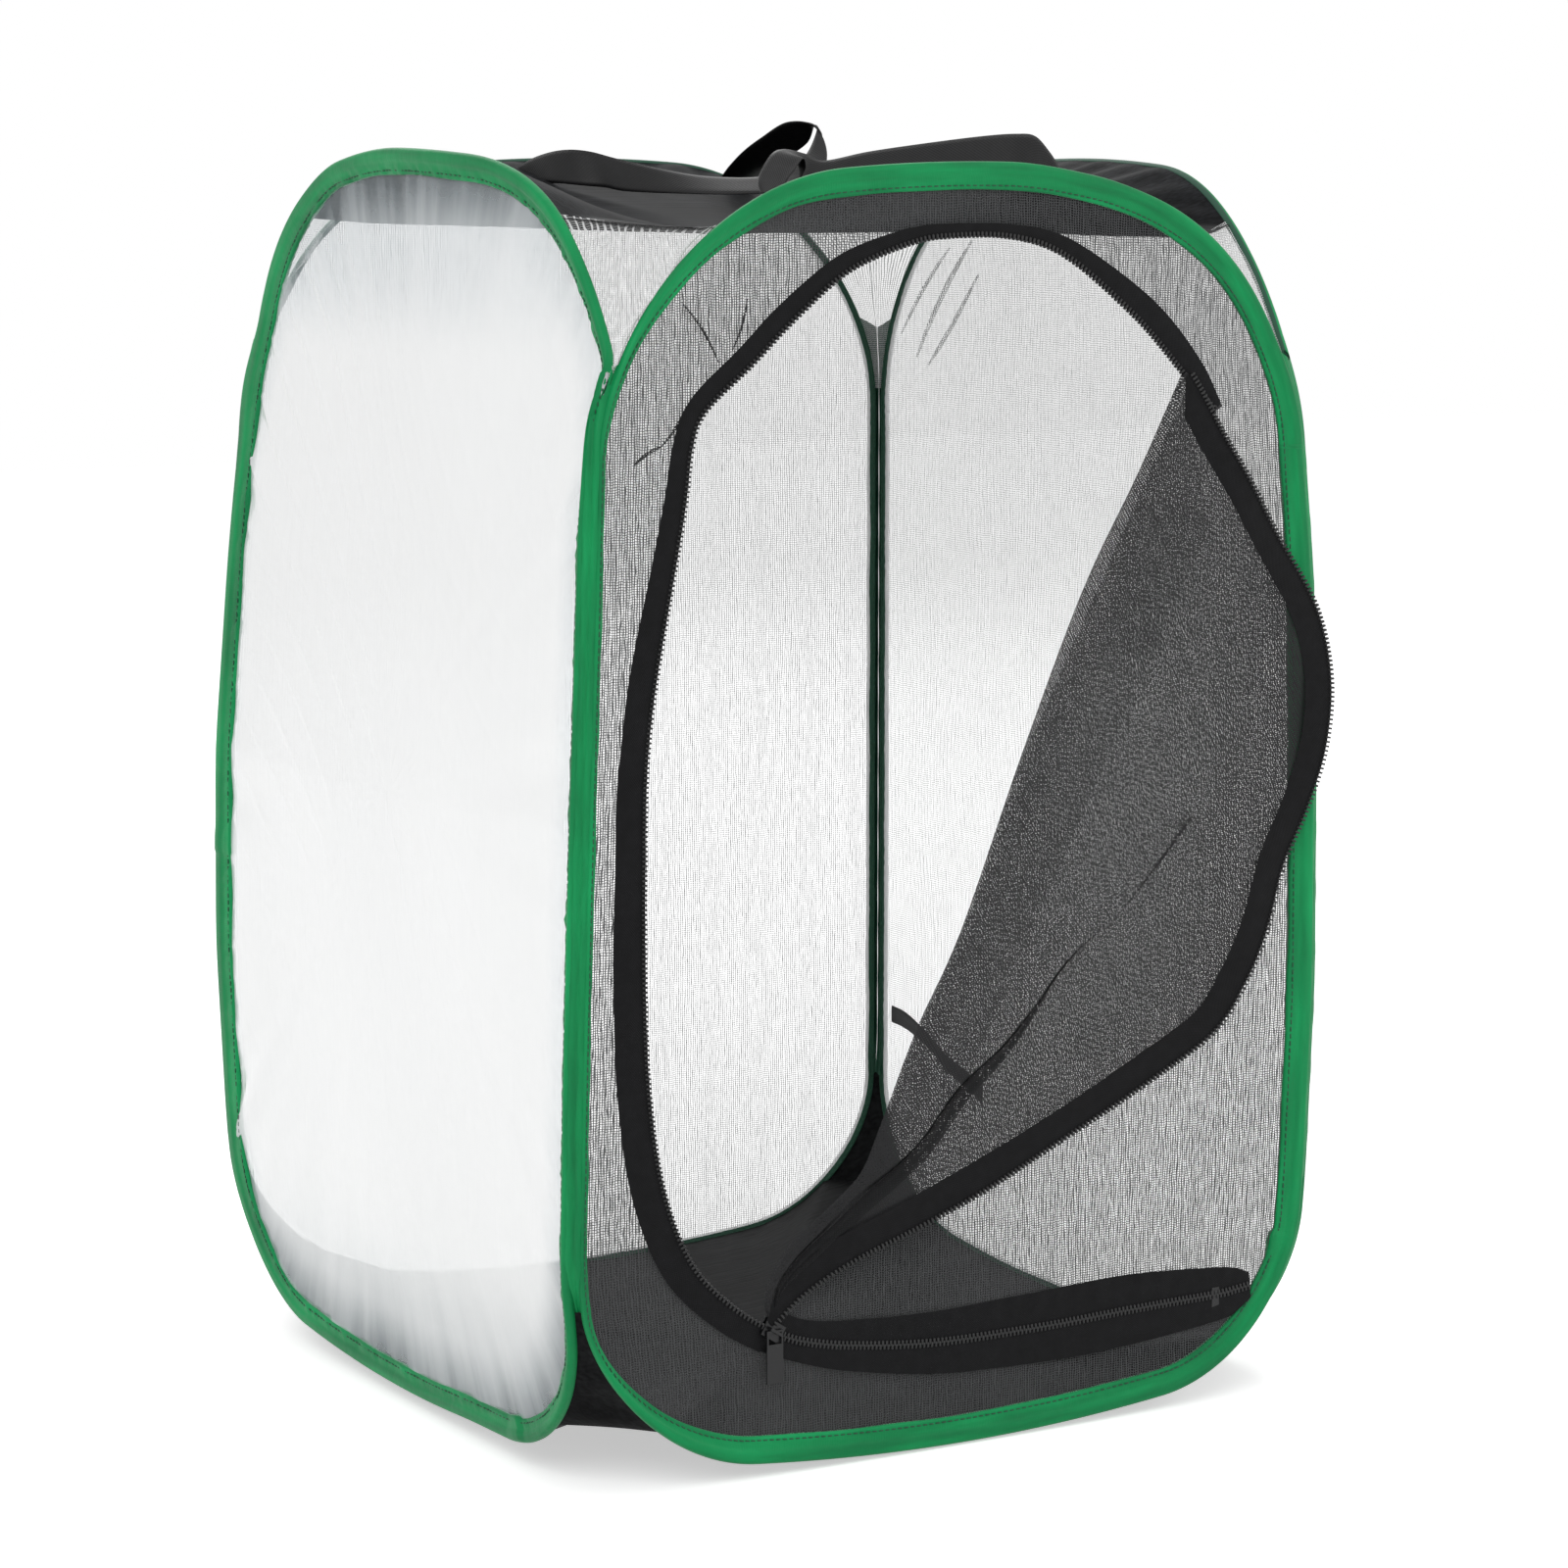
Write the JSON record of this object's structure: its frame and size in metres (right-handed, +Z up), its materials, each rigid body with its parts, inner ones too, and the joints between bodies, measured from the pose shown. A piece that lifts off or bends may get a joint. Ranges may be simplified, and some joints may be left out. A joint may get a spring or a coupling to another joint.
{
  "type": "insect cage",
  "caption": "Pop-up mesh insect cage: four bound spring hoops, clear window, mesh walls, zip door folded open, dark roof and floor, two strap handles.",
  "frame": {"origin": "middle of the outer box at the lowest point of the hoops", "axes": "+Z up, the zip door faces -Y, the clear window faces -X"},
  "size_m": [0.4062, 0.4062, 0.6283],
  "materials": {
    "binding": "satin",
    "spring_steel": "drawn",
    "window_film": "glossy, milky",
    "pale_mesh": "fine net",
    "black_mesh": "fine net",
    "black_cloth": "woven, slightly glossy",
    "zip_coil": "satin",
    "zip_tape": "woven tape",
    "webbing": "webbing",
    "zip_metal": "satin black"
  },
  "bodies": {
    "front": {"front_hoop_wire": "spring_steel", "front_wire_sleeve": "spring_steel", "front_binding": "binding", "front_mesh_panel": "black_mesh", "frame_zip_tape": "zip_tape", "frame_zip_coil": "zip_coil", "lower_door_zip_tape": "zip_tape", "lower_door_zip_coil": "zip_coil", "zip_end_box": "zip_metal", "zip_top_stop": "zip_metal", "roof_panel": "black_cloth", "floor_panel": "black_cloth", "top_gusset_front_left": "pale_mesh", "top_gusset_front_right": "pale_mesh", "floor_gusset_front_left": "black_cloth", "floor_gusset_front_right": "black_cloth"},
    "left_side": {"left_hoop_wire": "spring_steel", "left_wire_sleeve": "spring_steel", "left_binding": "binding", "window_film": "window_film", "top_gusset_back_left": "pale_mesh", "floor_gusset_back_left": "black_cloth"},
    "right_side": {"right_hoop_wire": "spring_steel", "right_wire_sleeve": "spring_steel", "right_binding": "binding", "right_mesh_panel": "pale_mesh", "tie_strap": "webbing"},
    "back_side": {"back_hoop_wire": "spring_steel", "back_wire_sleeve": "spring_steel", "back_binding": "binding", "back_mesh_panel": "pale_mesh", "top_gusset_back_right": "pale_mesh", "floor_gusset_back_right": "black_cloth"},
    "door": {"door_flap": "black_mesh"},
    "door_edge": {"flap_zip_tape": "zip_tape", "flap_zip_coil": "zip_coil"},
    "slider": {"zip_slider": "zip_metal"},
    "pull": {"zip_pull": "zip_metal"},
    "front_grip": {"front_handle": "webbing"},
    "back_grip": {"back_handle": "webbing"}
  },
  "joints": [
    {"name": "fold_flat", "type": "hinge", "parent": "front", "child": "left_side", "pos_m": [-0.19759, -0.19135, 0.3], "axis": [0, 0, 1], "range_deg": [-88, 88], "deforming": ["roof_panel", "floor_panel", "top_gusset_front_left", "top_gusset_front_right", "top_gusset_back_left", "top_gusset_back_right", "floor_gusset_front_left", "floor_gusset_front_right", "floor_gusset_back_left", "floor_gusset_back_right"]},
    {"name": "right_corner", "type": "hinge", "parent": "front", "child": "right_side", "pos_m": [0.19141, -0.19135, 0.3], "axis": [0, 0, 1], "range_deg": [-88, 88]},
    {"name": "back_corner", "type": "hinge", "parent": "left_side", "child": "back_side", "pos_m": [-0.19759, 0.19765, 0.3], "axis": [0, 0, 1], "range_deg": [-88, 88]},
    {"name": "door_open", "type": "hinge", "parent": "front", "child": "door", "pos_m": [0.00687, -0.19685, 0.28505], "axis": [-0.4728, 0, -0.8812], "range_deg": [0, 180], "deforming": ["door_flap", "flap_zip_tape", "flap_zip_coil"]},
    {"name": "door_pleat", "type": "slide", "parent": "door", "child": "door_edge", "axis": [1, 0, 0], "range_m": [0, 0.068]},
    {"name": "zip_run", "type": "hinge", "parent": "front", "child": "slider", "pos_m": [-0.04609, -0.1953, 0.16475], "axis": [0, -1, 0], "range_deg": [-54, 31]},
    {"name": "pull_swing", "type": "hinge", "parent": "slider", "child": "pull", "pos_m": [-0.10923, -0.19845, 0.06863], "axis": [-1, 0, 0], "range_deg": [0, 160]},
    {"name": "front_handle_swing", "type": "hinge", "parent": "front", "child": "front_grip", "pos_m": [-0.02509, -0.19425, 0.5941], "axis": [0.9983, 0, 0.0586], "range_deg": [0, 120]},
    {"name": "back_handle_swing", "type": "hinge", "parent": "back_side", "child": "back_grip", "pos_m": [-0.00309, 0.20055, 0.59022], "axis": [-1, 0, 0], "range_deg": [0, 120]}
  ],
  "couplings": [
    {"joint": "right_corner", "follows": "fold_flat", "ratio": 1},
    {"joint": "back_corner", "follows": "fold_flat", "ratio": -1},
    {"joint": "door_pleat", "follows": "door_open", "m_per_rad": 0.02164}
  ]
}
